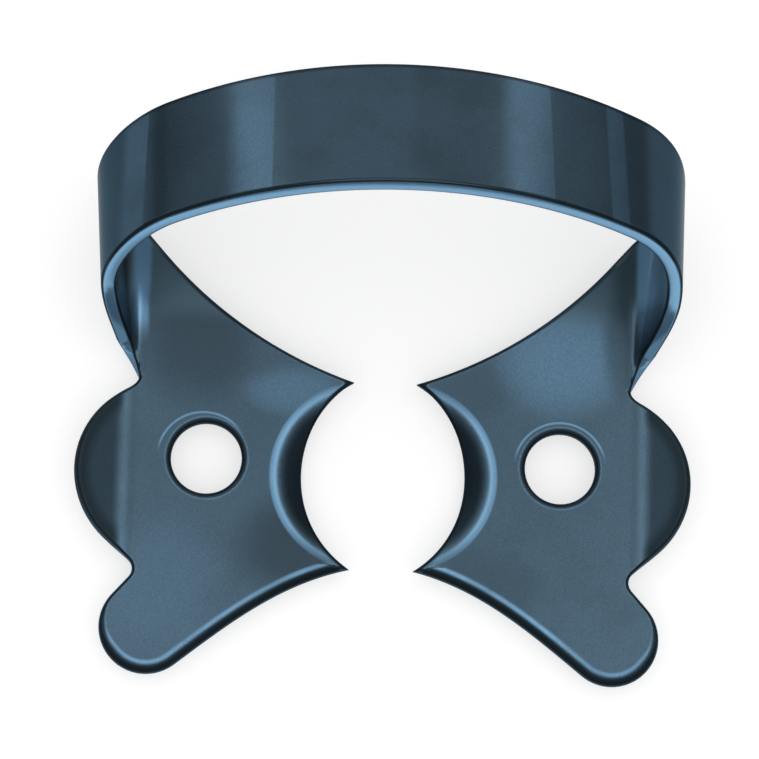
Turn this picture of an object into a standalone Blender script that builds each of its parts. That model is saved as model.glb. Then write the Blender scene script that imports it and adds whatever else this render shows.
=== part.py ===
"""Rubber dam clamp: one blank of spring steel, folded into two jaw plates, two legs and a leaning bow.

Frame: X runs across the two plates, Y from the front wings back to the bow, Z up.
The origin lies in the middle of the clamp's footprint, at the height of the jaws' ground lips.
The sizes below are measured from a point midway between the jaws, on the plates' undersides.
Run with: blender --background --python part.py
"""
import math

import bmesh
import bpy
from mathutils import Vector
from mathutils.geometry import delaunay_2d_cdt

MM = 0.001
MERGE = 0.005 * MM

# Sheet
SHEET = 0.60 * MM
EDGE_ROUND = 0.14 * MM
FRONT_ROUND = 0.27 * MM

# Jaws: each grips along an arc whose centre lies past the middle plane
JAW_TIP_X = 1.25 * MM
JAW_TIP_Y = 3.74 * MM
JAW_DEPTH = 2.12 * MM
LIP_WIDTH = 1.15 * MM
LIP_ANGLE = math.radians(42)
LIP_BEND = 1.70 * MM
LIP_REACH = 0.22 * MM
LIP_SPREAD = math.radians(75)

# Forceps holes
HOLE_DIAMETER = 2.80 * MM
HOLE_X = 7.02 * MM
HOLE_Y = 0.52 * MM

# Rear edge of a plate, from the jaw tip to the foot of the leg
REAR_X = 8.90 * MM
REAR_Y = 8.72 * MM
REAR_RADIUS = 17.5 * MM

# Side wing, between two notches
NOTCH_X = 9.80 * MM
NOTCH_Y = 3.95 * MM
NOTCH_ROUND = 0.45 * MM
NOTCH_SPREAD = math.radians(55)
LEG_NOTCH_Y = 3.50 * MM
SIDE_WING_X = 12.16 * MM
SIDE_WING_RADIUS = 3.68 * MM
SIDE_WING_SPREAD = math.radians(62)
SIDE_WING_ANGLE = math.radians(16)
SIDE_WING_BEND = 3.50 * MM

# Front wing
FRONT_WING_X = 9.16 * MM
FRONT_WING_Y = -6.20 * MM
FRONT_WING_RADIUS = 1.86 * MM
FRONT_WING_END = math.radians(35)
FRONT_EDGE_TILT = math.radians(38.5)
FRONT_EDGE_PULL = 0.35
FRONT_TIP_TILT = math.radians(13)

# Legs and bow
BOW_WIDTH = 6.00 * MM
BOW_HALF_SPAN = 10.98 * MM
BOW_FLARE = 0.30 * MM
BOW_LEAN = math.radians(32)
BOW_CORNER = 4.50 * MM
BOW_SLOPE = math.radians(30)
LEG_TOP_Y = 6.50 * MM
LEG_TOP_Z = 4.70 * MM
LEG_SOFT_BEND = 3.30 * MM
LEG_SOFT_LEAD = 0.30 * MM
LEG_SOFT_ANGLE = math.radians(13)
LEG_TURN_Y = 5.90 * MM
LEG_TURN_EASE = 2.2
LEG_BACK_ANGLE = math.radians(75)
LEG_BACK_RISE = 0.20 * MM
LEG_BACK_PULL = 0.10 * MM
LEG_FRONT_PULL = 1.10 * MM

# Fineness of the facets
ARC_STEP = math.radians(8)
EDGE_STEP = 0.75 * MM
FRONT_EDGE_STEPS = 12
LIP_RINGS = 4
WING_LINES = 4
SOFT_ROWS = 3
TIGHT_ROWS = 8
LEG_ROWS = 6
CORNER_ROWS = 12
ARCH_ROWS = 8
STRIP_COLUMNS = 4
ROUND_SEGMENTS = 2
JOIN_TOLERANCE = 1e-7

# Blued steel
STEEL_COLOUR = (0.050, 0.085, 0.115, 1.0)
STEEL_METALLIC = 0.9
STEEL_ROUGHNESS = 0.4


def arc(centre, radius, start, end):
    """Points along a circle from the start angle to the end angle, both included."""
    step = min(ARC_STEP, EDGE_STEP / radius)
    count = max(2, math.ceil(abs(end - start) / step))
    angles = [start + (end - start) * i / count for i in range(count + 1)]
    return [centre + radius * Vector((math.cos(a), math.sin(a))) for a in angles]


def angle_from(centre, point):
    return math.atan2(point.y - centre.y, point.x - centre.x)


def arc_between(start, end, radius, side):
    """The short arc between two points, bulging to the left (side 1) or right (side -1)."""
    chord = end - start
    normal = Vector((-chord.y, chord.x)).normalized() * side
    centre = (start + end) / 2 - normal * math.sqrt(radius ** 2 - (chord.length / 2) ** 2)
    first = angle_from(centre, start)
    turn = 2 * math.asin(chord.length / 2 / radius)
    return arc(centre, radius, first, first - side * turn)


def arc_through_tips(depth):
    """Centre and radius of the arc through both jaw tips that reaches this deep into the plate."""
    radius = (JAW_TIP_Y ** 2 + depth ** 2) / (2 * depth)
    return Vector((JAW_TIP_X + depth - radius, 0.0)), radius


def plate_outline():
    """Outline of the right-hand plate seen from above, from the foot of the leg round to it."""
    rear = Vector((REAR_X, REAR_Y))
    upper_tip = Vector((JAW_TIP_X, JAW_TIP_Y))
    lower_tip = Vector((JAW_TIP_X, -JAW_TIP_Y))
    centre, radius = arc_through_tips(JAW_DEPTH)
    half_angle = math.asin(JAW_TIP_Y / radius)
    points = [back_foot()] + arc_between(rear, upper_tip, REAR_RADIUS, 1)
    points += arc(centre, radius, half_angle, -half_angle)[1:]

    wing = Vector((FRONT_WING_X, FRONT_WING_Y))
    touch = wing - FRONT_WING_RADIUS * Vector((math.sin(FRONT_EDGE_TILT), math.cos(FRONT_EDGE_TILT)))
    points += front_edge(lower_tip, touch)[1:-1]
    points += arc(wing, FRONT_WING_RADIUS, angle_from(wing, touch), FRONT_WING_END)

    points += notch_round(Vector((NOTCH_X, -NOTCH_Y)))
    lobe = Vector((SIDE_WING_X - SIDE_WING_RADIUS, 0.0))
    points += arc(lobe, SIDE_WING_RADIUS, -SIDE_WING_SPREAD, SIDE_WING_SPREAD)
    return points


def front_edge(tip, touch):
    """Front edge of a plate: a curve that leaves the jaw tip and runs straight into the wing."""
    pull = FRONT_EDGE_PULL * (touch - tip).length
    leave = Vector((math.cos(FRONT_TIP_TILT), -math.sin(FRONT_TIP_TILT)))
    arrive = Vector((math.cos(FRONT_EDGE_TILT), -math.sin(FRONT_EDGE_TILT)))
    return [bezier(tip, tip + leave * pull, touch - arrive * pull, touch, i / FRONT_EDGE_STEPS)
            for i in range(FRONT_EDGE_STEPS + 1)]


def notch_round(notch):
    """A small hollow arc where the two wings meet."""
    centre = notch + Vector((NOTCH_ROUND, 0.0))
    return arc(centre, NOTCH_ROUND, math.pi + NOTCH_SPREAD, math.pi - NOTCH_SPREAD)


def bezier(a, b, c, d, t):
    u = 1 - t
    return a * u ** 3 + b * 3 * u * u * t + c * 3 * u * t * t + d * t ** 3


def bend_height(distance, radius, angle):
    """How far the sheet leaves its plane, at a distance past the start of a bend."""
    if distance <= 0:
        return 0.0
    turned = radius * math.sin(angle)
    if distance < turned:
        return radius - math.sqrt(radius ** 2 - distance ** 2)
    return radius * (1 - math.cos(angle)) + (distance - turned) * math.tan(angle)


def plate_height(point):
    """Height of the sheet's middle surface over a point of the plate."""
    centre, radius = arc_through_tips(JAW_DEPTH + LIP_WIDTH)
    to_lip = radius - (point - centre).length
    if -NOTCH_Y < point.y < LEG_NOTCH_Y:
        lift = bend_height(point.x - NOTCH_X, SIDE_WING_BEND, SIDE_WING_ANGLE)
    else:
        lift = leg_height(point.x) if point.y > 0 else 0.0
    return SHEET / 2 + lift - bend_height(to_lip, LIP_BEND, LIP_ANGLE)


def leg_height(x):
    """How far the leg's soft first bend has left the plate's plane at this x."""
    return bend_height(x - NOTCH_X + LEG_SOFT_LEAD, LEG_SOFT_BEND, LEG_SOFT_ANGLE)


def back_foot():
    """Where the plate's rear edge, run straight on, meets the line across the leg's foot."""
    along = rear_direction()
    return Vector((NOTCH_X, REAR_Y + (NOTCH_X - REAR_X) * along.y / along.x))


def bow_profile():
    """Across (x) and up (h) along the bow, from the top of the leg to the middle of the arch."""
    corner_end = math.pi / 2 - BOW_SLOPE
    points = []
    for i in range(1, CORNER_ROWS + 1):
        a = corner_end * i / CORNER_ROWS
        points.append((BOW_HALF_SPAN - BOW_CORNER * (1 - math.cos(a)), BOW_CORNER * math.sin(a)))
    end_x, end_h = points[-1]
    arch = end_x / math.sin(BOW_SLOPE)
    for i in range(1, ARCH_ROWS + 1):
        a = BOW_SLOPE * (1 - i / ARCH_ROWS)
        x = arch * math.sin(a)
        points.append((x, end_h + arch * (math.cos(a) - math.cos(BOW_SLOPE))))
    return points


def strip_rows():
    """Front and back points of each ruling, from the plate up the leg and over to the middle."""
    lean = Vector((0.0, math.sin(BOW_LEAN), math.cos(BOW_LEAN)))
    across = Vector((0.0, math.cos(BOW_LEAN), -math.sin(BOW_LEAN)))
    top_front = Vector((BOW_HALF_SPAN, LEG_TOP_Y, LEG_TOP_Z))
    top_back = top_front + across * BOW_WIDTH + Vector((BOW_FLARE, 0.0, 0.0))
    bend = leg_bend(top_back)
    rows = bend[:-1]
    foot_front, foot_back = bend[-1]
    leave_front = Vector((0.0, 0.0, 1.0))
    leave_back = (top_back - foot_back).normalized()
    for i in range(LEG_ROWS + 1):
        t = i / LEG_ROWS
        front = bezier(foot_front, foot_front + leave_front * LEG_FRONT_PULL,
                       top_front - lean * LEG_FRONT_PULL, top_front, t)
        back = bezier(foot_back, foot_back + leave_back * LEG_BACK_PULL,
                      top_back - lean * LEG_BACK_PULL, top_back, t)
        rows.append((front, back))
    for x, h in bow_profile():
        front = Vector((x, LEG_TOP_Y, LEG_TOP_Z)) + lean * h
        flare = BOW_FLARE * x / BOW_HALF_SPAN
        back = front + across * BOW_WIDTH + Vector((flare, 0.0, 0.0))
        rows.append((front, back))
    return rows


def leg_bend(top_back):
    """Rulings of the leg's bend: a soft part, then a tight one that turns the sheet upright."""
    soft_x = NOTCH_X - LEG_SOFT_LEAD + LEG_SOFT_BEND * math.sin(LEG_SOFT_ANGLE)
    soft_z = SHEET / 2 + leg_height(soft_x)
    angles = (math.pi / 2, LEG_BACK_ANGLE)
    front_radius = (BOW_HALF_SPAN - soft_x) / (1 - math.sin(LEG_SOFT_ANGLE))
    back_end = top_back - Vector((0.0, LEG_BACK_RISE, LEG_BACK_RISE))
    back_radius = (back_end.z - soft_z) / (math.cos(LEG_SOFT_ANGLE) - math.cos(LEG_BACK_ANGLE))
    soft = soft_x - NOTCH_X
    rows = []
    for i in range(SOFT_ROWS + TIGHT_ROWS + 1):
        ends = []
        for radius, last in zip((front_radius, back_radius), angles):
            tight = radius * (last - LEG_SOFT_ANGLE)
            if i < SOFT_ROWS:
                run = soft * i / SOFT_ROWS
                place = (NOTCH_X + run, SHEET / 2 + leg_height(NOTCH_X + run))
            else:
                a = LEG_SOFT_ANGLE + (last - LEG_SOFT_ANGLE) * (i - SOFT_ROWS) / TIGHT_ROWS
                run = soft + radius * (a - LEG_SOFT_ANGLE)
                place = (soft_x + radius * (math.sin(a) - math.sin(LEG_SOFT_ANGLE)),
                         soft_z + radius * (math.cos(LEG_SOFT_ANGLE) - math.cos(a)))
            ends.append((place, run / (soft + tight)))
        (front, front_share), (back, back_share) = ends
        eased = 1 - (1 - front_share) ** LEG_TURN_EASE
        front_y = LEG_NOTCH_Y + (LEG_TURN_Y - LEG_NOTCH_Y) * eased
        back_y = back_foot().y + (back_end.y - back_foot().y) * back_share
        rows.append((Vector((front[0], front_y, front[1])), Vector((back[0], back_y, back[1]))))
    return rows


def rear_direction():
    """Direction in which the plate's rear edge runs on into the leg."""
    edge = arc_between(Vector((JAW_TIP_X, JAW_TIP_Y)), Vector((REAR_X, REAR_Y)), REAR_RADIUS, -1)
    along = (edge[-1] - edge[-2]).normalized()
    return Vector((along.x, along.y, 0.0))


def fold_line():
    """Points along the line between plate and leg, from the notch to the rear edge."""
    start, end = Vector((NOTCH_X, LEG_NOTCH_Y)), back_foot()
    return [start.lerp(end, i / STRIP_COLUMNS) for i in range(STRIP_COLUMNS + 1)]


def loop_edges(start, count):
    return [(start + i, start + (i + 1) % count) for i in range(count)]


def plate_faces():
    """Triangles of the plate: its outline, the hole, and lines where the sheet is bent."""
    outline = fold_line()[:-1] + plate_outline()
    hole = arc(Vector((HOLE_X, HOLE_Y)), HOLE_DIAMETER / 2, 0, 2 * math.pi)[:-1]
    points = outline + hole
    edges = loop_edges(0, len(outline)) + loop_edges(len(outline), len(hole))
    centre, radius = arc_through_tips(JAW_DEPTH + LIP_WIDTH)
    turned = LIP_BEND * math.sin(LIP_ANGLE)
    for i in range(LIP_RINGS):
        ring = radius - turned * i / LIP_RINGS
        line = arc(centre, ring, -LIP_SPREAD, LIP_SPREAD)
        edges += [(len(points) + k, len(points) + k + 1) for k in range(len(line) - 1)]
        points += line
    wing_turned = SIDE_WING_BEND * math.sin(SIDE_WING_ANGLE)
    reach = NOTCH_Y + 2 * NOTCH_ROUND
    for i in range(WING_LINES + 1):
        x = NOTCH_X + wing_turned * i / WING_LINES
        edges.append((len(points), len(points) + 1))
        points += [Vector((x, -reach)), Vector((x, LEG_NOTCH_Y))]
    verts, _, faces, _, _, _ = delaunay_2d_cdt(points, edges, [], 1, JOIN_TOLERANCE)
    kept = [f for f in faces if on_plate([verts[i] for i in f], outline)]
    return verts, kept


def on_plate(corners, outline):
    middle = sum(corners, Vector((0.0, 0.0))) / len(corners)
    if (middle - Vector((HOLE_X, HOLE_Y))).length < HOLE_DIAMETER / 2:
        return False
    inside = False
    for a, b in zip(outline, outline[1:] + outline[:1]):
        if (a.y > middle.y) != (b.y > middle.y):
            if middle.x < a.x + (middle.y - a.y) * (b.x - a.x) / (b.y - a.y):
                inside = not inside
    return inside


def half_sheet():
    """Middle surface of the right-hand half, open at the middle plane."""
    sheet = bmesh.new()
    points, faces = plate_faces()
    used = sorted({i for face in faces for i in face})
    made = {i: sheet.verts.new((points[i].x, points[i].y, plate_height(points[i]))) for i in used}
    for face in faces:
        sheet.faces.new([made[i] for i in face])
    grid = []
    for front, back in strip_rows():
        grid.append([sheet.verts.new(front.lerp(back, k / STRIP_COLUMNS))
                     for k in range(STRIP_COLUMNS + 1)])
    for low, high in zip(grid, grid[1:]):
        for k in range(STRIP_COLUMNS):
            sheet.faces.new((low[k], high[k], high[k + 1], low[k + 1]))
    bmesh.ops.remove_doubles(sheet, verts=sheet.verts, dist=MERGE)
    bmesh.ops.recalc_face_normals(sheet, faces=sheet.faces)
    return sheet


def steel():
    material = bpy.data.materials.new("blued_steel")
    material.use_nodes = True
    shader = material.node_tree.nodes["Principled BSDF"]
    shader.inputs["Base Color"].default_value = STEEL_COLOUR
    shader.inputs["Metallic"].default_value = STEEL_METALLIC
    shader.inputs["Roughness"].default_value = STEEL_ROUGHNESS
    return material


def weigh_edges(sheet):
    """Every rim is rounded: fully where it faces the front of a plate, less elsewhere."""
    layer = sheet.edges.layers.float.new("bevel_weight_edge")
    least = EDGE_ROUND / FRONT_ROUND
    for edge in sheet.edges:
        low, high = edge.verts
        if not edge.is_boundary or max(abs(low.co.x), abs(high.co.x)) < MERGE:
            continue
        face = edge.link_faces[0]
        along = (high.co - low.co).normalized()
        outward = along.cross(face.normal)
        if outward.dot(face.calc_center_median() - low.co) > 0:
            outward.negate()
        on_front = min(low.co.y, high.co.y) < -JAW_TIP_Y
        edge[layer] = max(least, -outward.y) if on_front else least


def grindstone():
    """Cutter that leaves the turned-down lips flat underneath."""
    cutters = bpy.data.collections.new("cutters")
    bpy.context.scene.collection.children.link(cutters)
    block = bmesh.new()
    bmesh.ops.create_cube(block, size=1.0)
    half_width = JAW_TIP_X + JAW_DEPTH + LIP_WIDTH + SHEET
    half_length = JAW_TIP_Y + LIP_WIDTH + SHEET
    size = Vector((2 * half_width, 2 * half_length, SHEET))
    bmesh.ops.scale(block, vec=size, verts=block.verts)
    bmesh.ops.translate(block, vec=Vector((0.0, 0.0, -LIP_REACH - SHEET / 2)), verts=block.verts)
    mesh = bpy.data.meshes.new("lip_grind")
    block.to_mesh(mesh)
    block.free()
    cutter = bpy.data.objects.new("lip_grind", mesh)
    cutters.objects.link(cutter)
    cutter.display_type = "WIRE"
    cutter.hide_render = True
    return cutter


def stand(clamp, cutter):
    """Put the middle of the clamp's footprint at the origin, with the cutter still in its place."""
    bpy.context.view_layer.update()
    shape = clamp.evaluated_get(bpy.context.evaluated_depsgraph_get())
    corners = [Vector(corner) for corner in shape.bound_box]
    low = Vector([min(corner[axis] for corner in corners) for axis in range(3)])
    high = Vector([max(corner[axis] for corner in corners) for axis in range(3)])
    place = Vector((0.0, -(low.y + high.y) / 2, -low.z))
    clamp.location = place
    cutter.location = place


def build():
    for thing in list(bpy.data.objects):
        bpy.data.objects.remove(thing)
    collection = bpy.data.collections.new("rubber_dam_clamp")
    bpy.context.scene.collection.children.link(collection)
    sheet = half_sheet()
    weigh_edges(sheet)
    mesh = bpy.data.meshes.new("clamp")
    sheet.to_mesh(mesh)
    sheet.free()
    clamp = bpy.data.objects.new("clamp", mesh)
    collection.objects.link(clamp)
    mesh.materials.append(steel())

    mirror = clamp.modifiers.new("other_half", "MIRROR")
    mirror.merge_threshold = MERGE
    wall = clamp.modifiers.new("sheet", "SOLIDIFY")
    wall.thickness = SHEET
    wall.offset = 0.0
    wall.use_even_offset = True
    rounding = clamp.modifiers.new("edges", "BEVEL")
    rounding.width = FRONT_ROUND
    rounding.segments = ROUND_SEGMENTS
    rounding.limit_method = "WEIGHT"
    grinding = clamp.modifiers.new("ground_lips", "BOOLEAN")
    grinding.operation = "DIFFERENCE"
    grinding.object = grindstone()
    mesh.shade_smooth()
    stand(clamp, grinding.object)


build()
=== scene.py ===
import math
from types import SimpleNamespace

import bmesh
import bpy
import numpy as np
from mathutils import Matrix, Vector
from mathutils.geometry import delaunay_2d_cdt


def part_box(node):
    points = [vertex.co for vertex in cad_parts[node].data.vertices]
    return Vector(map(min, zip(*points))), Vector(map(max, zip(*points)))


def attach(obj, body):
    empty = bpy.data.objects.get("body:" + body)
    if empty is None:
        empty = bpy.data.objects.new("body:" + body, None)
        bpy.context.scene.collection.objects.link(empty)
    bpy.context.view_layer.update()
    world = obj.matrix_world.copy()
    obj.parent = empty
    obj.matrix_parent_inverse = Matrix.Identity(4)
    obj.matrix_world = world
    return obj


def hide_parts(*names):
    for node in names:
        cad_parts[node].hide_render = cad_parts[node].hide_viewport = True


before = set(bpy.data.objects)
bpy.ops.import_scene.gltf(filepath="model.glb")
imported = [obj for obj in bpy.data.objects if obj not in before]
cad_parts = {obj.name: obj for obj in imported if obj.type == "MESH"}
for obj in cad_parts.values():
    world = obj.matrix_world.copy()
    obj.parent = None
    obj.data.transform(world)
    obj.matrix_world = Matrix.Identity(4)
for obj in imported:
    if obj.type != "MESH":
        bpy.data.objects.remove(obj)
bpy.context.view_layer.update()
mm = 0.001
tiny = 1e-9                  # keeps divisions by a length from failing

# The clamp's own sizes, in millimetres and degrees
clampSizes = {
    "sheet": 0.60,
    "edgeRound": 0.16,
    "frontRound": 0.27,      # the fuller rounding of the rims that face the front
    "frontRoundWidth": 0.52,
    "frontRoundTurn": 0.5,   # it runs on round the front wing till the rim heads inwards this much
    "frontRoundRise": 0.6,   # and is full where the rim heads outwards this much
    "frontRoundStart": 0.01,  # so that the jaw's tip itself counts as in front
    "frontRoundEnd": 0.8,    # where it stops, as a share of the front wing's radius
    "frontRoundFade": 0.5,
    "frontRoundSide": 1.0,   # further in from the front wing's centre than this it doesn't fade
    "holeRound": 0.20,
    "jawTipX": 1.25,
    "jawTipY": 3.74,
    "jawDepth": 2.12,
    "lipWidth": 1.15,
    "lipAngle": 42.0,
    "lipBend": 1.70,
    "lipReach": 0.22,        # the lips are ground flat this far below the plates
    "holeDiameter": 2.80,
    "holeX": 7.02,
    "holeY": 0.52,
    "rearX": 8.90,
    "rearY": 8.72,
    "rearRadius": 17.5,
    "notchX": 9.80,
    "notchY": 3.95,
    "notchRound": 0.45,
    "legNotchY": 3.68,
    "sideWingX": 12.16,
    "sideWingRadius": 3.68,
    "sideWingSpread": 62.0,
    "sideWingAngle": 16.0,
    "sideWingBend": 3.50,
    "frontWingX": 9.16,
    "frontWingY": -6.20,
    "frontWingRadius": 1.86,
    "frontEdgeTilt": 38.5,
    "frontEdgePull": 0.35,
    "frontTipTilt": 13.0,
    "bowWidth": 6.00,
    "bowHalfSpan": 10.93,
    "bowFlare": 0.48,
    "bowFrontFull": 0.24,    # how much wider the strip is at the crown, in front and behind
    "bowBackFull": 0.14,
    "bowSkew": 0.27,         # the real bow is bent a little towards its right shoulder
    "bowSkewRise": 0.6,
    "bowLean": 32.0,
    "bowCorner": 4.50,
    "bowSlope": 30.0,
    "legTopY": 6.50,
    "legTopZ": 4.70,
    "legSoftBend": 3.30,
    "legSoftLead": 0.30,
    "legSoftAngle": 13.0,
    "legFootBlend": 0.01,    # across the line where the leg starts beside the wing
    "legFlare": 0.50,
    "legFrontAngle": 82.0,
    "legTurnY": 5.05,
    "legTurnEase": 1.90,
    "legBackAngle": 75.0,
    "legBackRise": 0.20,
    "legBackPull": 0.10,
    "legFrontPull": 1.00,
    "legFrontLean": 0.30,
    "legTopPull": 1.20,
    "legNotchPull": 0.18,
    "outlineStep": 0.16,     # from here on: how fine the mesh is
    "plateStep": 0.30,
    "netReach": 9.0,
    "notchSteps": 6,
    "roundSteps": 8,
    "pastRound": 0.03,
    "ringClear": 0.97,       # a ring's point stays if no other rim comes nearer than this share
    "lipRings": 14,
    "lipSpread": 1.3,        # radians
    "wingLines": 12,
    "softLines": 8,
    "linePoints": 60,
    "softRows": 10,
    "tightRows": 50,
    "legRows": 40,
    "cornerRows": 70,
    "archRows": 50,
    "stripColumns": 12,
}
s = clampSizes


def turn(degrees):
    return Vector((math.cos(math.radians(degrees)), math.sin(math.radians(degrees))))


def arcPoints(centre, radius, start, end):
    count = max(3, math.ceil(abs(end - start) * radius / s["outlineStep"]))
    turns = [start + (end - start) * i / count for i in range(count + 1)]
    return [centre + radius * Vector((math.cos(a), math.sin(a))) for a in turns]


def angleFrom(centre, point):
    return math.atan2(point.y - centre.y, point.x - centre.x)


def arcBetween(start, end, radius, side):
    chord = end - start
    normal = Vector((-chord.y, chord.x)).normalized() * side
    centre = (start + end) / 2 - normal * math.sqrt(radius ** 2 - (chord.length / 2) ** 2)
    first = angleFrom(centre, start)
    return arcPoints(centre, radius, first, first - side * 2 * math.asin(chord.length / 2 / radius))


def crossingAngle(centre, radius, other, otherRadius, side):  # where a straight run to the other arc leaves
    gap = other - centre
    return math.atan2(gap.y, gap.x) + side * math.acos((radius + otherRadius) / gap.length)


def bezier(a, b, c, d, t):
    u = 1 - t
    return a * u ** 3 + b * 3 * u * u * t + c * 3 * u * t * t + d * t ** 3


def arcThroughTips(depth):  # centre and radius of the arc through both tips of a jaw
    radius = (s["jawTipY"] ** 2 + depth ** 2) / (2 * depth)
    return Vector((s["jawTipX"] + depth - radius, 0.0)), radius


def frontEdge(tip, touch):
    pull = s["frontEdgePull"] * (touch - tip).length
    leave, arrive = turn(-s["frontTipTilt"]), turn(-s["frontEdgeTilt"])
    count = math.ceil((touch - tip).length / s["outlineStep"])
    return [bezier(tip, tip + leave * pull, touch - arrive * pull, touch, i / count)
            for i in range(count + 1)]


def plateOutline():  # right-hand plate, from the foot of the leg round to the side wing
    rear = Vector((s["rearX"], s["rearY"]))
    upperTip = Vector((s["jawTipX"], s["jawTipY"]))
    lowerTip = Vector((s["jawTipX"], -s["jawTipY"]))
    centre, radius = arcThroughTips(s["jawDepth"])
    half = math.asin(s["jawTipY"] / radius)
    points = [backFoot()] + arcBetween(rear, upperTip, s["rearRadius"], 1)
    points += arcPoints(centre, radius, half, -half)[1:]
    wing = Vector((s["frontWingX"], s["frontWingY"]))
    touch = wing - s["frontWingRadius"] * turn(90 - s["frontEdgeTilt"])
    points += frontEdge(lowerTip, touch)[1:-1]
    hollow = Vector((s["notchX"] + s["notchRound"], -s["notchY"]))
    lobe = Vector((s["sideWingX"] - s["sideWingRadius"], 0.0))
    wingEnd = crossingAngle(wing, s["frontWingRadius"], hollow, s["notchRound"], -1)
    lobeStart = crossingAngle(lobe, s["sideWingRadius"], hollow, s["notchRound"], 1)
    for part in (arcPoints(wing, s["frontWingRadius"], angleFrom(wing, touch), wingEnd),
                 arcPoints(hollow, s["notchRound"], wingEnd + math.pi, lobeStart + math.pi),
                 arcPoints(lobe, s["sideWingRadius"], lobeStart, math.radians(s["sideWingSpread"]))):
        count = math.ceil((part[0] - points[-1]).length / s["outlineStep"])
        points += [points[-1].lerp(part[0], i / count) for i in range(1, count)] + part
    start, notch = points[-1], Vector((s["notchX"], s["legNotchY"]))
    leave = turn(90 + s["sideWingSpread"]) * s["legNotchPull"]
    arrive = Vector((0.0, s["legNotchPull"]))
    count = s["notchSteps"]
    points += [bezier(start, start + leave, notch - arrive, notch, i / count) for i in range(1, count)]
    return points


def roundingWidth(height):  # fuller roundings reach further in over the plate than they are high
    share = (s["frontRoundWidth"] - s["edgeRound"]) / (s["frontRound"] - s["edgeRound"])
    return s["edgeRound"] + (height - s["edgeRound"]) * share


def roundingDepths(height):  # distances in from a rim at which the rounding has a ring
    steps, width = s["roundSteps"], roundingWidth(height)
    depths = [width * (1 - math.cos(math.pi / 2 * i / steps)) for i in range(steps + 1)]
    return depths + [width + s["pastRound"]]


def columnPlaces(length):  # places across the strip, closer together in its rounded rims
    near = [d / length for d in roundingDepths(s["edgeRound"])]
    count = s["stripColumns"]
    inner = [near[-1] + (1 - 2 * near[-1]) * i / count for i in range(1, count)]
    return near + inner + [1 - u for u in reversed(near)]


def backFoot():  # where the rear edge, run straight on, meets the line across the leg's foot
    tip, rear = Vector((s["jawTipX"], s["jawTipY"])), Vector((s["rearX"], s["rearY"]))
    edge = arcBetween(tip, rear, s["rearRadius"], -1)
    along = (edge[-1] - edge[-2]).normalized()
    return Vector((s["notchX"], s["rearY"] + (s["notchX"] - s["rearX"]) * along.y / along.x))


def bendHeight(distance, radius, degrees):  # height and slope past the start of a bend
    angle = math.radians(degrees)
    turned = radius * math.sin(angle)
    inBend = np.clip(distance, 0, turned)
    height = radius - np.sqrt(radius ** 2 - inBend ** 2) + np.maximum(distance - turned, 0) * math.tan(angle)
    slope = np.where(distance > turned, math.tan(angle), inBend / np.sqrt(radius ** 2 - inBend ** 2))
    return height, slope


def legHeight(x):  # of the leg's soft first bend above the plate, and its slope
    return bendHeight(x - s["notchX"] + s["legSoftLead"], s["legSoftBend"], s["legSoftAngle"])


def legBend(topBack):  # rulings of the leg's bend: one radius in front, a soft and a tight one behind
    first = math.radians(s["legSoftAngle"])
    softX = s["notchX"] - s["legSoftLead"] + s["legSoftBend"] * math.sin(first)
    softZ = s["sheet"] / 2 + float(legHeight(softX)[0])
    soft = softX - s["notchX"]
    footZ = s["sheet"] / 2 + float(legHeight(s["notchX"])[0])
    frontFirst = math.asin(s["legSoftLead"] / s["legSoftBend"])
    frontLast = math.radians(s["legFrontAngle"])
    frontReach = s["bowHalfSpan"] - s["legFlare"] - s["notchX"]
    frontRadius = frontReach / (math.sin(frontLast) - math.sin(frontFirst))
    backEnd = topBack - Vector((0.0, s["legBackRise"], s["legBackRise"]))
    backLast = math.radians(s["legBackAngle"])
    backRadius = (backEnd.z - softZ) / (math.cos(first) - math.cos(backLast))
    tight = backRadius * (backLast - first)
    lead = s["legFrontLean"] * frontRadius * (frontLast - frontFirst)  # so that it runs on smoothly
    footY = backFoot().y
    rows = []
    for i in range(s["softRows"] + s["tightRows"] + 1):
        if i < s["softRows"]:
            run = soft * i / s["softRows"]
            backX = s["notchX"] + run
            backZ = s["sheet"] / 2 + float(legHeight(backX)[0])
        else:
            a = first + (backLast - first) * (i - s["softRows"]) / s["tightRows"]
            run = soft + backRadius * (a - first)
            backX = softX + backRadius * (math.sin(a) - math.sin(first))
            backZ = softZ + backRadius * (math.cos(first) - math.cos(a))
        share = run / (soft + tight)
        a = frontFirst + (frontLast - frontFirst) * share
        frontX = s["notchX"] + frontRadius * (math.sin(a) - math.sin(frontFirst))
        frontZ = footZ + frontRadius * (math.cos(frontFirst) - math.cos(a))
        frontY = (s["legNotchY"] + lead * share
                  + (s["legTurnY"] - s["legNotchY"] - lead) * (1 - (1 - share) ** s["legTurnEase"]))
        backY = footY + (backEnd.y - footY) * share
        rows.append((Vector((frontX, frontY, frontZ)), Vector((backX, backY, backZ))))
    return rows


def bowProfile():  # half of the bow, from the top of a leg to the crown: outwards and along its lean
    slope = math.radians(s["bowSlope"])
    profile = []
    for i in range(1, s["cornerRows"] + 1):
        a = (math.pi / 2 - slope) * i / s["cornerRows"]
        profile.append((s["bowHalfSpan"] - s["bowCorner"] * (1 - math.cos(a)), s["bowCorner"] * math.sin(a)))
    endX, endH = profile[-1]
    arch = endX / math.sin(slope)
    for i in range(1, s["archRows"] + 1):
        a = slope * (1 - i / s["archRows"])
        profile.append((arch * math.sin(a), endH + arch * (math.cos(a) - math.cos(slope))))
    return profile


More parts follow.
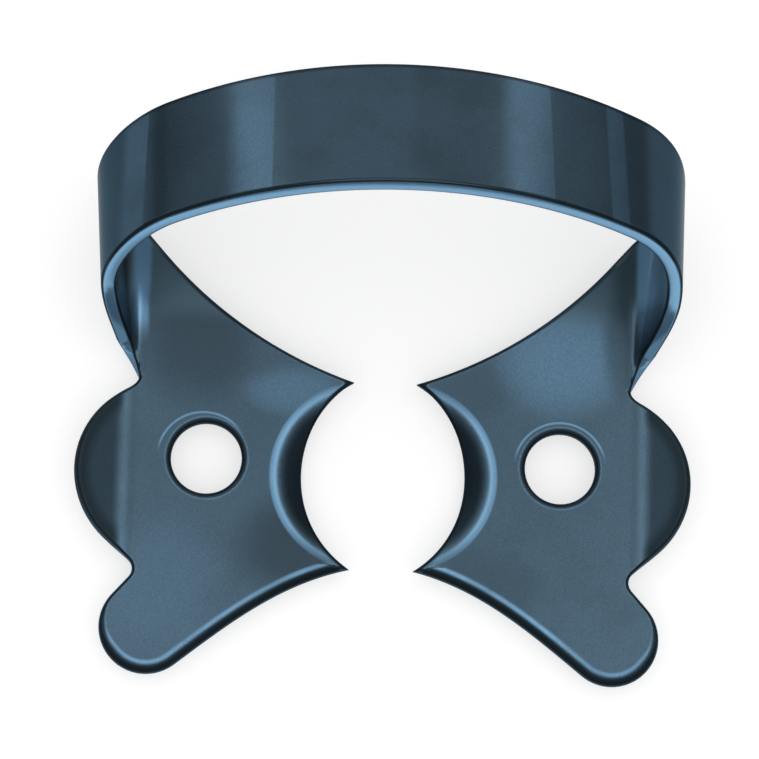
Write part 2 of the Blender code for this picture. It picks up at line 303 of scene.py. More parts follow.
def stripRows():  # front and back of each ruling, from the plate up the leg to the crown
    lean = math.radians(s["bowLean"])
    up = Vector((0.0, math.sin(lean), math.cos(lean)))
    across = Vector((0.0, math.cos(lean), -math.sin(lean)))
    topFront = Vector((s["bowHalfSpan"], s["legTopY"], s["legTopZ"]))
    topBack = topFront + across * s["bowWidth"] + Vector((s["bowFlare"], 0.0, 0.0))
    rows = legBend(topBack)
    footFront, footBack = rows.pop()
    frontLast = math.radians(s["legFrontAngle"])
    leaveFront = Vector((math.cos(frontLast), s["legFrontLean"], math.sin(frontLast)))
    leaveBack = (topBack - footBack).normalized()
    for i in range(s["legRows"] + 1):
        t = i / s["legRows"]
        rows.append((bezier(footFront, footFront + leaveFront * s["legFrontPull"],
                            topFront - up * s["legTopPull"], topFront, t),
                     bezier(footBack, footBack + leaveBack * s["legBackPull"],
                            topBack - up * s["legBackPull"], topBack, t)))
    for x, h in bowProfile():
        share = x / s["bowHalfSpan"]
        full = 1 - share * share                     # the strip is a little wider towards its crown
        front = Vector((x, s["legTopY"], s["legTopZ"])) + up * h
        width = s["bowWidth"] + s["bowBackFull"] * full
        back = front + across * width + Vector((s["bowFlare"] * share, 0, 0))
        rows.append((front - across * s["bowFrontFull"] * full, back))
    return rows


def crownShare(points):  # 0 up to the top of the leg, 1 at the bow's crown
    lean = math.radians(s["bowLean"])
    height = (points[:, 1] - s["legTopY"]) * math.sin(lean) + (points[:, 2] - s["legTopZ"]) * math.cos(lean)
    return np.clip(height / height.max(), 0, 1)


def pointArray(points):
    return np.array([tuple(p) for p in points])


def unitRows(vectors):
    return vectors / np.maximum(np.sqrt((vectors ** 2).sum(-1)), tiny)[..., None]


def rimDistances(points, rims):  # distance to the nearest rim, and that rim's rounding
    found = np.zeros(len(points))
    rounding = np.zeros(len(points))
    starts = np.concatenate([rim[:-1] for rim, _ in rims])
    ends = np.concatenate([rim[1:] for rim, _ in rims])
    startRound = np.concatenate([r[:-1] for _, r in rims])
    endRound = np.concatenate([r[1:] for _, r in rims])
    run = ends - starts
    lengths = np.maximum((run ** 2).sum(1), tiny ** 2)
    atOnce = 2000                                    # points, so that the arrays stay small
    for first in range(0, len(points), atOnce):
        part = points[first:first + atOnce, None, :]
        t = np.clip(((part - starts) * run).sum(2) / lengths, 0, 1)
        gap = np.sqrt(((part - starts - t[..., None] * run) ** 2).sum(2))
        best = gap.argmin(1)
        rows = np.arange(len(best))
        found[first:first + atOnce] = gap[rows, best]
        share = t[rows, best]
        rounding[first:first + atOnce] = startRound[best] * (1 - share) + endRound[best] * share
    return found, rounding


def insideOutline(points, outline):
    inside = np.zeros(len(points), bool)
    x, y = points[:, 0], points[:, 1]
    for (ax, ay), (bx, by) in zip(outline, np.roll(outline, -1, 0)):
        if ay != by:
            crosses = (ay > y) != (by > y)
            inside ^= crosses & (x < ax + (y - ay) * (bx - ax) / (by - ay))
    return inside


def outsideHole(points, share=1.0):
    away = np.hypot(points[:, 0] - s["holeX"], points[:, 1] - s["holeY"])
    return away > s["holeDiameter"] / 2 * share


def plateSurface(points):  # middle surface over the plate, and its normals
    centre, radius = arcThroughTips(s["jawDepth"] + s["lipWidth"])
    away = points - np.array(centre)
    length = np.maximum(np.sqrt((away ** 2).sum(1)), tiny)
    lip, lipSlope = bendHeight(radius - length, s["lipBend"], s["lipAngle"])
    lift, liftSlope = bendHeight(points[:, 0] - s["notchX"], s["sideWingBend"], s["sideWingAngle"])
    leg, legSlope = legHeight(points[:, 0])
    pastNotch = points[:, 1] - s["legNotchY"] + s["legFootBlend"] / 2
    onWing = (points[:, 1] > -s["notchY"]) & (pastNotch < 0)
    onLeg = np.clip(pastNotch / s["legFootBlend"], 0, 1)
    height = s["sheet"] / 2 + lift * onWing + leg * onLeg - lip
    slopes = lipSlope[:, None] * away / length[:, None]
    slopes[:, 0] += liftSlope * onWing + legSlope * onLeg
    return np.column_stack([points, height]), unitRows(np.column_stack([-slopes, np.ones(len(points))]))


def frontRounding(rim):  # rims that face the front are rounded more than the others
    run = unitRows(np.gradient(rim, axis=0))
    full = np.clip((run[:, 0] + s["frontRoundTurn"]) / (s["frontRoundRise"] + s["frontRoundTurn"]), 0, 1)
    full *= rim[:, 1] < -s["jawTipY"] + s["frontRoundStart"]
    stop = s["frontWingY"] + s["frontWingRadius"] * s["frontRoundEnd"]
    fade = np.clip((stop - rim[:, 1]) / s["frontRoundFade"], 0, 1)
    full *= np.where(rim[:, 0] > s["frontWingX"] - s["frontRoundSide"], fade, 1)
    return s["edgeRound"] + (s["frontRound"] - s["edgeRound"]) * full


def loopEdges(first, count):
    return [(first + i, first + (i + 1) % count) for i in range(count)]


def addRings(points, edges, outline, rims):  # rings that follow each rim, down its rounding
    for line, rounding in rims:
        run = np.gradient(line, axis=0)
        if np.allclose(line[0], line[-1]):
            run[0] = run[-1] = line[1] - line[-2]
        run = unitRows(run)
        inward = np.column_stack([-run[:, 1], run[:, 0]])
        for step in range(1, s["roundSteps"] + 2):
            depth = np.array([roundingDepths(r)[step] for r in rounding])
            inset = line + inward * depth[:, None]
            gap, _ = rimDistances(inset, rims)
            kept = (gap > depth * s["ringClear"]) & insideOutline(inset, outline)
            last = None
            for p, keep in zip(inset, kept):
                if keep:
                    points.append(tuple(p))
                    if last is not None:
                        edges.append((last, len(points) - 1))
                last = len(points) - 1 if keep else None


def netPoints(foldStart, foldEnd):  # inner points, close where the plate bends and even over its flat
    points = []
    centre, radius = arcThroughTips(s["jawDepth"] + s["lipWidth"])
    turned = s["lipBend"] * math.sin(math.radians(s["lipAngle"]))
    for i in range(-1, s["lipRings"] + 1):           # where the sheet turns down into the lip
        points += arcPoints(centre, radius - turned * i / s["lipRings"], -s["lipSpread"], s["lipSpread"])
    count = s["linePoints"]
    turned = s["sideWingBend"] * math.sin(math.radians(s["sideWingAngle"]))
    for i in range(-1, s["wingLines"] + 1):          # where the side wing bends up
        x = s["notchX"] + turned * i / s["wingLines"]
        points += [Vector((x, s["notchY"] * (2 * k / count - 1))) for k in range(count + 1)]
    for k in range(-1, s["softLines"]):              # from the leg's soft bend to the line across its foot
        back = Vector((s["legSoftLead"] * (1 - k / s["softLines"]), 0.0))
        points += [foldStart.lerp(foldEnd, i / count) - back for i in range(count + 1)]
    step = s["plateStep"]
    reach = int(s["netReach"] / step)
    for i in range(int(s["sideWingX"] / step) + 1):
        points += [Vector((i * step, (k + i % 2 / 2) * step)) for k in range(-reach, reach + 1)]
    return pointArray(points)


def plateMesh(fold, foldStart, foldEnd):
    rim = plateOutline()
    outline = pointArray(fold[:-1] + rim)
    rimLine = pointArray(rim + [fold[0]])
    holeCentre = Vector((s["holeX"], s["holeY"]))
    hole = pointArray(arcPoints(holeCentre, s["holeDiameter"] / 2, 2 * math.pi, 0))
    rims = [(rimLine, frontRounding(rimLine)), (hole, np.full(len(hole), s["holeRound"]))]

    points = [tuple(p) for p in outline] + [tuple(p) for p in hole[:-1]]
    edges = loopEdges(0, len(outline)) + loopEdges(len(outline), len(hole) - 1)
    addRings(points, edges, outline, rims)
    net = netPoints(foldStart, foldEnd)
    gap, rounding = rimDistances(net, rims)
    clear = (gap > roundingWidth(rounding) + s["pastRound"] * 2) & insideOutline(net, outline)
    points += [tuple(p) for p in net[clear & outsideHole(net)]]

    nearEnough, justInside = 1e-6, 0.999
    made, _, faces, origins, _, _ = delaunay_2d_cdt([Vector(p) for p in points], edges, [], 1, nearEnough)
    flat = pointArray(made)
    faces = np.array([f for f in faces])
    middle = flat[faces].mean(1)
    faces = faces[insideOutline(middle, outline) & outsideHole(middle, justInside)]
    where = {old: new for new, olds in enumerate(origins) for old in olds}
    gap, rounding = rimDistances(flat, rims)
    return flat, faces, where, gap, rounding


def stripGrid(rows):  # points over the strip, their normals and their distance from its edges
    front = pointArray([f for f, _ in rows])
    back = pointArray([b for _, b in rows])
    ruling = back - front
    lengths = np.sqrt((ruling ** 2).sum(1))
    u = np.array([columnPlaces(length) for length in lengths])
    grid = front[:, None, :] + u[..., None] * ruling[:, None, :]
    along = np.gradient(grid, axis=0)
    along[-1] = (-1, 0, 0)                           # both halves meet square at the crown
    normals = unitRows(np.cross(along, np.broadcast_to(ruling[:, None, :], grid.shape)))
    steep = [np.linalg.norm(np.cross(along[:, k], ruling), axis=1)
             / (np.linalg.norm(along[:, k], axis=1) * lengths) for k in (0, -1)]
    gap = np.minimum(u * (lengths * steep[0])[:, None], (1 - u) * (lengths * steep[1])[:, None])
    return grid, normals, gap


def halfClamp():  # middle surface of the right-hand plate, leg and half bow
    foldStart, foldEnd = Vector((s["notchX"], s["legNotchY"])), backFoot()
    places = columnPlaces((foldEnd - foldStart).length)
    fold = [foldStart.lerp(foldEnd, u) for u in places]
    flat, faces, where, gap, rounding = plateMesh(fold, foldStart, foldEnd)
    surface, normals = plateSurface(flat)
    grid, gridNormals, gridGap = stripGrid(stripRows())

    columns = grid.shape[1]
    plateCount = len(flat)
    distance = np.concatenate([gap, gridGap[1:].reshape(-1)])
    rounding = np.concatenate([rounding, np.full(distance.size - plateCount, s["edgeRound"])])
    index = np.arange(plateCount, distance.size).reshape(-1, columns)
    index = np.vstack([[where[k] for k in range(columns)], index])
    quads = [(index[i, k], index[i + 1, k], index[i + 1, k + 1], index[i, k + 1])
             for i in range(len(index) - 1) for k in range(columns - 1)]
    width = roundingWidth(rounding)
    inward = np.clip(distance / width, 0, 1)
    return SimpleNamespace(position=np.concatenate([surface, grid[1:].reshape(-1, 3)]),
                           normal=np.concatenate([normals, gridNormals[1:].reshape(-1, 3)]),
                           thick=s["sheet"] / 2 - rounding + rounding * np.sqrt(1 - (1 - inward) ** 2),
                           distance=distance, width=width, plateCount=plateCount,
                           faces=[tuple(f) for f in faces] + quads)


def openEdges(faces):
    seen = {}
    for face in faces:
        for a, b in zip(face, face[1:] + face[:1]):
            seen[(a, b)] = True
    return [(a, b) for a, b in seen if (b, a) not in seen]


sheetReadings = ("rimDistance", "roundWidth", "lipDistance", "topSide", "onStrip")  # kept for the material


def skewPerPoint(half):  # how far each point moves sideways, growing smoothly up the bow
    share = np.minimum(crownShare(half.position) / s["bowSkewRise"], 1)
    skew = s["bowSkew"] * share * share * (3 - 2 * share)
    skew[:half.plateCount] = 0.0
    return skew


def addFace(mesh, verts, mirror):
    mesh.faces.new(verts if mirror > 0 else verts[::-1])


def addHalf(mesh, half, mirror):
    layers = {name: mesh.verts.layers.float[name] for name in sheetReadings}
    centre, radius = arcThroughTips(s["jawDepth"] + s["lipWidth"])
    skew = skewPerPoint(half)
    used = np.unique(np.concatenate([np.array(f) for f in half.faces]))
    sides = []
    for sign in (1, -1):
        place = half.position + half.normal * (half.thick * sign)[:, None]
        place[:, 2] = np.maximum(place[:, 2], -s["lipReach"])
        verts = {}
        for i in used:
            x, y, z = place[i]
            vert = mesh.verts.new(((x * mirror + skew[i]) * mm, y * mm, z * mm))
            middleX, middleY = half.position[i][:2]
            vert[layers["rimDistance"]] = half.distance[i]
            vert[layers["roundWidth"]] = half.width[i]
            vert[layers["lipDistance"]] = radius - math.hypot(middleX - centre.x, middleY)
            vert[layers["topSide"]] = (sign + 1) / 2
            vert[layers["onStrip"]] = float(i >= half.plateCount)
            verts[i] = vert
        sides.append(verts)
    top, bottom = sides
    for face in half.faces:
        addFace(mesh, [top[i] for i in face], mirror)
        addFace(mesh, [bottom[i] for i in reversed(face)], mirror)
    nearSeam = 1e-6                                  # millimetres: no wall where the halves meet
    for a, b in openEdges(half.faces):
        if abs(half.position[a][0]) + abs(half.position[b][0]) > nearSeam:
            addFace(mesh, [top[b], top[a], bottom[a], bottom[b]], mirror)


def buildClamp():
    mesh = bmesh.new()
    for name in sheetReadings:
        mesh.verts.layers.float.new(name)
    half = halfClamp()
    for mirror in (1, -1):
        addHalf(mesh, half, mirror)
    onStrip = mesh.verts.layers.float["onStrip"]
    onSeam, weld = 1e-8, 1e-7                        # metres
    seam = [v for v in mesh.verts if abs(v.co.x - s["bowSkew"] * mm) < onSeam and v[onStrip] > 0]
    bmesh.ops.remove_doubles(mesh, verts=seam, dist=weld)
    ys = [v.co.y for v in mesh.verts]
    zs = [v.co.z for v in mesh.verts]
    low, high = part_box("clamp")
    shift = Vector((0.0, (low[1] + high[1] - min(ys) - max(ys)) / 2, low[2] - min(zs)))
    bmesh.ops.translate(mesh, vec=shift, verts=mesh.verts)
    data = bpy.data.meshes.new("clampSheet")
    mesh.to_mesh(data)
    openLeft = sum(1 for e in mesh.edges if len(e.link_faces) != 2)
    print("clamp sheet:", len(mesh.verts), "points,", len(mesh.faces), "faces, open edges", openLeft,
          "volume mm3", round(mesh.calc_volume(signed=True) / mm ** 3, 2))
    mesh.free()
    data.shade_smooth()
    piece = bpy.data.objects.new("clampSheet", data)
    bpy.context.scene.collection.objects.link(piece)
    return piece, shift


class Wire:  # a socket of a node, so that shader maths reads as Python
    def __init__(self, maker, socket):
        self.maker = maker
        self.socket = socket

    def maths(self, operation, *values):
        return self.maker.node("ShaderNodeMath", {"operation": operation}, dict(enumerate(values)))

    def sibling(self, out):
        return Wire(self.maker, self.socket.node.outputs[out])

    def larger(self, other):
        return self.maths("MAXIMUM", self, other)

    def __abs__(self):
        return self.maths("ABSOLUTE", self)

    def __add__(self, other):
        return self.maths("ADD", self, other)

    def __radd__(self, other):
        return self.maths("ADD", other, self)

    def __sub__(self, other):
        return self.maths("SUBTRACT", self, other)

    def __rsub__(self, other):
        return self.maths("SUBTRACT", other, self)

    def __mul__(self, other):
        return self.maths("MULTIPLY", self, other)

    def __rmul__(self, other):
        return self.maths("MULTIPLY", other, self)

    def __truediv__(self, other):
        return self.maths("DIVIDE", self, other)

    def __pow__(self, other):
        return self.maths("POWER", self, other)


class NodeMaker:
    def __init__(self, tree):
        tree.nodes.clear()
        self.tree = tree

    def node(self, kind, settings=None, inputs=None, out=0):
        made = self.tree.nodes.new(kind)
        for name, value in (settings or {}).items():
            if name == "stops":
                ramp = made.color_ramp
                while len(ramp.elements) < len(value):
                    ramp.elements.new(0.5)
                for element, (place, colour) in zip(ramp.elements, value):
                    element.position = place
                    element.color = colour
            else:
                setattr(made, name, value)
        for name, value in (inputs or {}).items():
            if isinstance(value, Wire):
                self.tree.links.new(value.socket, made.inputs[name])
            else:
                made.inputs[name].default_value = value
        return Wire(self, made.outputs[out]) if made.outputs else made

    def ease(self, value, low, high, toLow=0.0, toHigh=1.0):
        return self.node("ShaderNodeMapRange", {"interpolation_type": "SMOOTHSTEP"},
                         {"Value": value, "From Min": low, "From Max": high,
                          "To Min": toLow, "To Max": toHigh})

    def blend(self, share, first, second):
        return self.node("ShaderNodeMix", {"data_type": "RGBA"}, {0: share, 6: first, 7: second}, out=2)

    def split(self, vector):
        x = self.node("ShaderNodeSeparateXYZ", {}, {0: vector})
        return x, x.sibling(1), x.sibling(2)

    def noise(self, place, size, detail, roughness):  # size in millimetres
        return self.node("ShaderNodeTexNoise", {}, {"Vector": place, "Scale": 1 / (size * mm),
                                                    "Detail": detail, "Roughness": roughness})

    def stripe(self, x, fadeIn, fadeOut):
        return self.ease(x, *fadeIn) * self.ease(x, *fadeOut)


# The colours come first. A mask's row says where it starts and ends, in millimetres or as a share,
# and then, where that isn't 0 and 1, what it goes from and to
bluedSteel = {
    "plate": (0.061, 0.107, 0.150, 1.0),
    # darker oxide for the grain and patches, and painted shade on rims, side wings, spots and bands
    "deep": (0.018, 0.028, 0.034, 1.0),
    # lighter colour: rubbed steel at the bow's edge, and painted highlights and sheen elsewhere
    "rubbedAndHighlight": (0.168, 0.337, 0.515, 1.0),
    "edgeTint": (0.30, 0.48, 0.62, 1.0),   # keeps the ends of the bow blue where they turn away
    "bounceFill": (0.095, 0.160, 0.205, 1.0),   # painted fill light on the legs' inner sides, where the bow shades them
    "shaded": (0.024, 0.034, 0.038, 1.0),
    "lipDarkReflection": (0.004, 0.006, 0.008, 1.0),   # painted dark reflection on the jaws' ground lips
    "metallic": 0.68,
    "roughness": 0.19,
    "bowRoughness": 0.14,
    "grain": (0.05, 3.0, 0.6),             # noise: size, detail, roughness
    "patch": (2.4, 4.0, 0.55),
    "grainDeep": (0.28, 0.72, 0.0, 0.40),
    "patchDeep": (0.40, 0.70, 0.0, 0.16),
    "grainRough": 0.16,
    "patchRough": 0.06,
    "grainBump": 0.10,
    "bumpDepth": 0.02,
    "shadeAndSheenSpots": [               # painted shade (below 0) and painted sheen, where the faces mirror darker and lighter surroundings: x, y, half sizes, amount
        (-7.5, 5.4, 3.0, 3.4, -0.55),
        (-3.5, -2.8, 2.8, 2.5, -0.62),
        (4.2, -4.2, 2.8, 1.8, -0.28),
        (-3.6, 3.3, 2.4, 1.2, 0.24),
        (-8.6, -4.6, 3.2, 3.6, 0.10),
        (7.0, 5.0, 3.2, 3.0, 0.34),
        (9.4, 6.0, 1.0, 3.2, -0.55),
        (3.6, 3.4, 1.8, 1.4, -0.15),
    ],
    "reflectionBands": [               # painted highlight (above 0) and painted shade bands up the bow's face, where its reflections run: left and right edge, their softness, amount
        (-6.00, -4.80, 0.70, 0.06, 0.22),
        (-10.30, -9.65, 0.40, 0.06, 0.26),
        (8.15, 8.70, 0.12, 0.15, 0.26),
        (4.60, 5.80, 0.90, 0.08, 0.20),
        (1.00, 3.60, 0.80, 0.80, -0.22),
    ],
    "bandPatch": (0.30, 0.62, 0.6, 1.3),
    "fullRound": (0.26, 0.45),             # how wide a rounding is to count as the front's fuller one
    "edgeDark": (0.08, 0.16, 0.85, 0.0),   # painted shade in the rounding, from a rim inwards
    "frontDark": (0.40, 0.62, 0.8, 0.0),   # as shares of the rounding's width
    # painted shade on the side wings' outer parts, which are also rougher
    "lobeSide": (10.2, 10.6),
    "lobeRim": (0.16, 0.90, 0.85, 0.15),
    "lobeFront": (-4.4, -3.6),
    "lobeRough": 0.35,
    "backRim": (0.20, 0.34, 0.8, 0.0),     # painted shade along the bow's back edge
    "backFrom": (3.0, 4.0),
    "lipDark": (0.42, 0.62, 0.0, 0.52),    # painted dark reflection on the lips, from the fold of the lip outwards
    "lipRear": (2.0, 3.2, 1.0, 0.25),
    "lineIn": (0.55, 0.72),                # the painted highlight line on the front's rounding
    "lineOut": (0.88, 1.15, 1.0, 0.0),
    "linePatch": (0.35, 0.65, 0.25, 0.60),
    "crestIn": (-0.04, 0.06),              # the painted highlight line on the lip's crest
    "crestOut": (0.18, 0.32, 1.0, 0.0),
    "crestRim": (0.10, 0.25),
    "crestEnds": (1.8, 3.4, 1.0, 0.45),
    "crestBright": 0.60,
    "holeGlints": [(-7.14, 1.0), (7.00, 1.5)],  # painted highlight arc above each forceps hole: centre, how far it runs on
    "holeGlintRadius": 1.82,
    "holeGlintWidth": 0.06,
    "holeGlintAbove": (0.1, 0.9),
    "holeGlintFade": 0.6,
    "holeGlintBright": 0.55,
    "edgeWearAndHighlight": (0.002, 0.024, 1.0, 0.0),  # the strip's own edge is lighter: rubbed, and a painted highlight
    "innerFrom": (5.8, 7.6),               # the legs' inner sides get a lighter painted fill, and less metal, where the bow shades them
    "innerSide": (10.7, 11.1, 1.0, 0.5),
    "innerRim": (0.10, 0.24),
    "satinLoss": 0.38,
    "leftLight": [(-10.30, -9.98), (-9.60, -9.35, 1.0, 0.0)],    # painted highlight and painted shade stripes up the legs
    "rightLight": [(9.88, 10.10), (10.35, 10.80, 0.8, 0.0)],
    "lightFrom": (4.8, 6.4),
    "lightShare": 0.8,
    "leftDark": (-10.45, -10.15, 1.0, 0.0),
    "rightDark": [(8.60, 9.50), (9.80, 10.10, 0.55, 0.0)],
}


def readSheet(n, look, shift):  # what the masks are worked out from
    place = n.node("ShaderNodeTexCoord", out=3)
    x, y, z = (part / mm for part in n.split(place))
    at = SimpleNamespace(x=x, y=y - shift.y, z=z - shift.z, side=abs(x),
                         grain=n.noise(place, *look["grain"]), patch=n.noise(place, *look["patch"]))
    for name in sheetReadings:
        setattr(at, name, n.node("ShaderNodeAttribute", {"attribute_name": name}, out=2))
    at.plate, at.outer = 1 - at.onStrip, 1 - at.topSide
    at.full = n.ease(at.roundWidth, *look["fullRound"])
    at.share = at.rimDistance / at.roundWidth
    at.lobe = n.ease(at.side, *look["lobeSide"]) * n.ease(at.rimDistance, *look["lobeRim"])
    at.lobe = at.lobe * n.ease(at.y, *look["lobeFront"]) * at.plate
    return at


def faceToneAndPaintedLight(n, look, at):  # the faces of the sheet, before their edges: random oxide tone and grain, with painted shade and sheen
    tone = n.blend(n.ease(at.patch, *look["patchDeep"]), look["plate"], look["deep"])
    for centreX, centreY, halfX, halfY, amount in look["shadeAndSheenSpots"]:
        across, along = (at.x - centreX) / halfX, (at.y - centreY) / halfY
        spot = n.ease(across * across + along * along, 0.0, 1.0, abs(amount), 0.0) * at.topSide
        tone = n.blend(spot, tone, look["rubbedAndHighlight"] if amount > 0 else look["deep"])
    for left, right, softLeft, softRight, amount in look["reflectionBands"]:
        band = (n.ease(at.x, left - softLeft, left, 0.0, abs(amount))
                * n.ease(at.x, right, right + softRight, 1.0, 0.0))
        band = band * at.onStrip * at.outer * n.ease(at.patch, *look["bandPatch"])
        tone = n.blend(band, tone, look["rubbedAndHighlight"] if amount > 0 else look["deep"])
    return n.blend(n.ease(at.grain, *look["grainDeep"]), tone, look["deep"])


def paintedEdgeShade(n, look, at, colour):  # painted shade on the rims, side wings and the bow's back edge, and painted dark reflection on the lips
    rim = (n.ease(at.rimDistance, *look["edgeDark"]) * (1 - at.full)
           + n.ease(at.share, *look["frontDark"]) * at.full)
    lean = math.radians(s["bowLean"])
    depth = (at.y - s["legTopY"]) * math.cos(lean) - (at.z - s["legTopZ"]) * math.sin(lean)
    back = n.ease(at.rimDistance, *look["backRim"]) * n.ease(depth, *look["backFrom"]) * at.onStrip * at.outer
    colour = n.blend(rim.larger(at.lobe).larger(back), colour, look["deep"])
    lip = n.ease(at.lipDistance, *look["lipDark"]) * n.ease(at.y, *look["lipRear"]) * at.topSide
    return n.blend(lip, colour, look["lipDarkReflection"])


def brightLines(n, look, at):  # painted highlights where light catches the front rounding, the lips' crests and the holes
    line = n.ease(at.share, *look["lineIn"]) * n.ease(at.share, *look["lineOut"]) * at.full * at.plate
    crest = (n.ease(at.lipDistance, *look["crestIn"]) * n.ease(at.lipDistance, *look["crestOut"])
             * n.ease(at.rimDistance, *look["crestRim"]) * n.ease(abs(at.y), *look["crestEnds"]))
    holeGlint = 0.0
    for centreX, reach in look["holeGlints"]:
        aside, above = at.x - centreX, at.y - s["holeY"]
        away = (aside * aside + above * above) ** 0.5 - look["holeGlintRadius"]
        arc = n.ease(away * away, 0.0, look["holeGlintWidth"] ** 2, 1.0, 0.0)
        arc = arc * n.ease(above, *look["holeGlintAbove"])
        holeGlint = arc * n.ease(aside, reach, reach + look["holeGlintFade"], 1.0, 0.0) + holeGlint
    return (line * n.ease(at.patch, *look["linePatch"]) + crest * look["crestBright"]
            + holeGlint * look["holeGlintBright"]) * at.topSide


def legInsides(n, look, at, inner, colour):  # painted fill where the bow shades the legs' inner sides, with a painted highlight and a painted shade stripe up each leg
    light = n.stripe(at.x, *look["leftLight"]) + n.stripe(at.x, *look["rightLight"])
    light = light * n.ease(at.y, *look["lightFrom"]) * at.topSide
    dark = n.ease(at.x, *look["leftDark"]) + n.stripe(at.x, *look["rightDark"])
    tone = n.blend(light, n.blend(dark, look["bounceFill"], look["shaded"]), look["rubbedAndHighlight"])
    reach = inner.larger(light * look["lightShare"]) * n.ease(at.rimDistance, *look["innerRim"])
    return n.blend(reach, colour, tone)


def steelMaterial(shift):
    look = bluedSteel
    material = bpy.data.materials.new("bluedSteel")
    material.use_nodes = True
    n = NodeMaker(material.node_tree)
    at = readSheet(n, look, shift)
    inner = n.ease(at.y, *look["innerFrom"]) * n.ease(at.side, *look["innerSide"]) * at.topSide
    colour = legInsides(n, look, at, inner, paintedEdgeShade(n, look, at, faceToneAndPaintedLight(n, look, at)))
    colour = n.blend(brightLines(n, look, at), colour, look["rubbedAndHighlight"])
    colour = n.blend(n.ease(at.rimDistance, *look["edgeWearAndHighlight"]) * at.onStrip, colour, look["rubbedAndHighlight"])
    metallic = look["metallic"] - inner * look["satinLoss"]
    roughness = (n.ease(at.onStrip, 0.0, 1.0, look["roughness"], look["bowRoughness"])
                 + (at.grain - 0.5) * look["grainRough"] + (at.patch - 0.5) * look["patchRough"]
                 + at.lobe * look["lobeRough"])
    bump = n.node("ShaderNodeBump", {}, {"Strength": look["grainBump"], "Distance": look["bumpDepth"] * mm,
                                         "Height": at.grain})
    shader = n.node("ShaderNodeBsdfPrincipled", {}, {"Base Color": colour, "Metallic": metallic,
                                                     "Roughness": roughness, "Normal": bump,
                                                     "Specular Tint": look["edgeTint"]})
    n.node("ShaderNodeOutputMaterial", {}, {"Surface": shader})
    return material


print("building the clamp sheet")
clamp, shift = buildClamp()
print("finishing it in blued steel")
clamp.data.materials.append(steelMaterial(shift / mm))
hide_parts("clamp")
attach(clamp, "root")

paleFloor = {
    "size": 400.0,           # millimetres
    "drop": 0.22,
    "colour": (0.50, 0.50, 0.50, 1.0),
    "roughness": 0.9,
    "lift": 0.60,            # how much it glows for the camera alone
    "paperEdge": (42.0, 47.0, 1.0, 0.1),        # the pale sheet under the clamp, as the metal mirrors it
    "paperFront": (-9.0, -3.0, 1.30, 0.45),     # it is brighter in front of the jaws
}


def addFloor():
    look = paleFloor
    mesh = bmesh.new()
    bmesh.ops.create_grid(mesh, x_segments=1, y_segments=1, size=look["size"] * mm / 2)
    data = bpy.data.meshes.new("floor")
    mesh.to_mesh(data)
    mesh.free()
    floor = bpy.data.objects.new("floor", data)
    floor.location.z = -look["drop"] * mm
    bpy.context.scene.collection.objects.link(floor)
    material = bpy.data.materials.new("paleFloor")
    material.use_nodes = True
    n = NodeMaker(material.node_tree)
    camera = n.node("ShaderNodeLightPath", out=0)
    place = n.node("ShaderNodeTexCoord", out=3)
    away = n.node("ShaderNodeVectorMath", {"operation": "LENGTH"}, {0: place}, out=1) / mm
    _, y, _ = n.split(place)
    paper = n.ease(away, *look["paperEdge"]) * n.ease(y / mm, *look["paperFront"])
    shader = n.node("ShaderNodeBsdfPrincipled", {}, {"Base Color": look["colour"],
                                                     "Roughness": look["roughness"],
                                                     "Emission Color": (1, 1, 1, 1),
                                                     "Emission Strength": camera * look["lift"]})
    mirrored = n.node("ShaderNodeEmission", {}, {"Strength": paper})
    both = n.node("ShaderNodeMixShader", {}, {0: camera.sibling("Is Glossy Ray"), 1: shader, 2: mirrored})
    n.node("ShaderNodeOutputMaterial", {}, {"Surface": both})
    data.materials.append(material)


photoView = {
    "tilt": 9.5,             # of the camera from straight above, towards the front
    "swing": -2.06,
    "roll": 1.47,
    "target": (0.0, 3.0, 3.0),
    "distance": 126.5,       # millimetres
    "sensor": 36.0,
    "clipStart": 0.001,      # metres
    "pixelsPerMm": 25.654,
    "centreX": 387.9,        # the pixel that the target lies on
    "centreY": 391.6,
    "image": 759,
}


def addCamera():
    view = photoView
    tilt, swing, roll = (math.radians(view[name]) for name in ("tilt", "swing", "roll"))
    toCamera = Vector((math.sin(swing), -math.sin(tilt) * math.cos(swing), math.cos(tilt) * math.cos(swing)))
    right = Vector((0, 1, 0)).cross(toCamera).normalized()
    up = toCamera.cross(right)
    right, up = right * math.cos(roll) + up * math.sin(roll), up * math.cos(roll) - right * math.sin(roll)
    offsetX = (view["image"] / 2 - view["centreX"]) / view["pixelsPerMm"]
    offsetY = (view["centreY"] - view["image"] / 2) / view["pixelsPerMm"]
    place = Vector(view["target"]) + toCamera * view["distance"] + right * offsetX + up * offsetY
    data = bpy.data.cameras.new("camera")
    data.sensor_width = view["sensor"]
    data.lens = view["pixelsPerMm"] * view["distance"] * view["sensor"] / view["image"]
    data.clip_start = view["clipStart"]
    camera = bpy.data.objects.new("camera", data)
    matrix = Matrix((right, up, toCamera)).transposed().to_4x4()
    matrix.translation = place * mm
    matrix.translation += shift
    camera.matrix_world = matrix
    bpy.context.scene.collection.objects.link(camera)
    bpy.context.scene.camera = camera


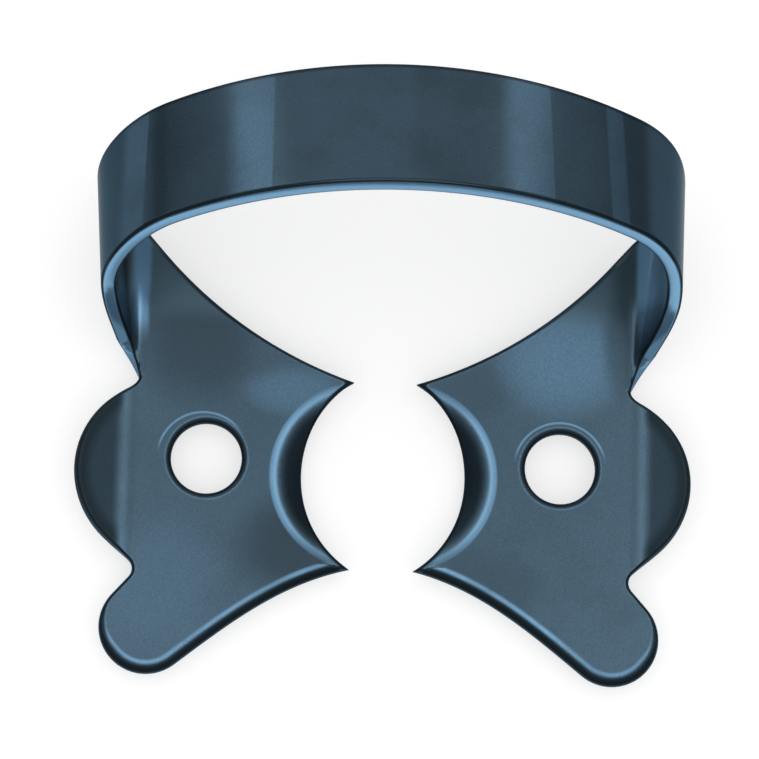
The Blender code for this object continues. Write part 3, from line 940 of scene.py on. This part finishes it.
studioLight = {
    "axis": (0.03, 0.16, 0.986),          # where a flat plate mirrors the camera
    "overhead": [(0.0, 0.98), (6.5, 0.98), (9.0, 2.3), (17.0, 2.3), (25.0, 0.20), (60.0, 0.06)],
    "rampTop": 2.0,                       # the level that the ramp's white stands for
    "north": (0.2, 0.9, 0.0, 0.34),       # dim wall behind the bow
    "panels": [                           # azimuth, half width, elevation, half height, soft edge, level
        (1.5, 21.0, 18.0, 16.0, 4.0, 0.30),
        (-25.0, 4.0, 12.0, 16.0, 1.5, 0.80),
        (23.5, 4.0, 12.0, 16.0, 1.5, 0.55),
    ],
    "plain": 0.95,                        # for everything that isn't a mirror image
    "seen": 1.0,                          # for the camera
}


def addWorld():
    world = bpy.data.worlds.new("studio")
    bpy.context.scene.world = world
    world.use_nodes = True
    n = NodeMaker(world.node_tree)
    direction = n.node("ShaderNodeTexCoord", out=0)
    x, y, z = n.split(direction)
    azimuth = x.maths("ARCTAN2", x, y) * (180 / math.pi)
    elevation = z.maths("ARCSINE", z) * (180 / math.pi)
    towards = n.node("ShaderNodeVectorMath", {"operation": "DOT_PRODUCT"},
                     {0: direction, 1: studioLight["axis"]}, out=1)
    angle = towards.maths("ARCCOSINE", towards) * (180 / math.pi)
    top = studioLight["rampTop"]
    stops = [(a / 180, (v / top, v / top, v / top, 1)) for a, v in studioLight["overhead"]]
    level = n.node("ShaderNodeValToRGB", {"stops": stops}, {"Fac": angle / 180}) * top
    level = level + n.ease(y, *studioLight["north"])
    for az, halfWidth, el, halfHeight, soft, value in studioLight["panels"]:
        level = level + (n.ease(abs(azimuth - az), halfWidth - soft, halfWidth + soft, value, 0.0)
                         * n.ease(abs(elevation - el), halfHeight - soft, halfHeight + soft, 1.0, 0.0))
    seen = n.node("ShaderNodeLightPath", out=0)
    plain, mirrored, white = (n.node("ShaderNodeBackground", {}, {"Color": (1, 1, 1, 1), "Strength": glow})
                              for glow in (studioLight["plain"], level, studioLight["seen"]))
    both = n.node("ShaderNodeMixShader", {}, {0: seen.sibling("Is Glossy Ray"), 1: plain, 2: mirrored})
    every = n.node("ShaderNodeMixShader", {}, {0: seen, 1: both, 2: white})
    n.node("ShaderNodeOutputWorld", {}, {"Surface": every})


print("setting up the studio")
addFloor()
addCamera()
addWorld()
bpy.context.scene.view_settings.view_transform = "Standard"
